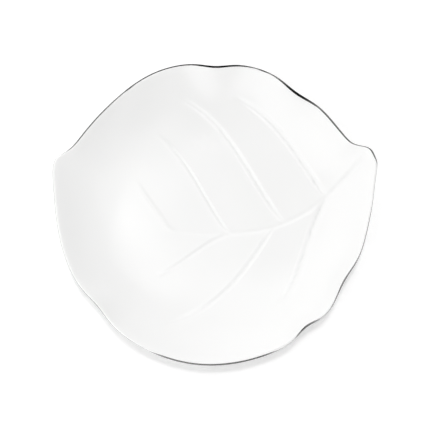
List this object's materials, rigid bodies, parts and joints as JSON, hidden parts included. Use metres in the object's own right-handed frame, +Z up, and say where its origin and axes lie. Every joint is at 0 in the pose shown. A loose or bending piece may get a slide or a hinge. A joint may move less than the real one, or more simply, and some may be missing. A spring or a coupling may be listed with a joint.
{
  "type": "serving plate",
  "caption": "Leaf-shaped porcelain serving plate with a shallow well, engraved veins, a wavy flared lip lined in platinum and a round foot ring.",
  "frame": {"origin": "on the table, under the middle of the plate's outline", "axes": "+X towards the leaf's stem along its length, +Y across it, +Z up out of the well"},
  "size_m": [0.3031, 0.2892, 0.0375],
  "materials": {
    "glazed_porcelain": "gloss",
    "bare_porcelain": "matte",
    "platinum_line": "polished"
  },
  "bodies": {
    "root": {"leaf_dish": "glazed_porcelain", "foot_ring": "bare_porcelain", "platinum_rim": "platinum_line"}
  },
  "joints": []
}
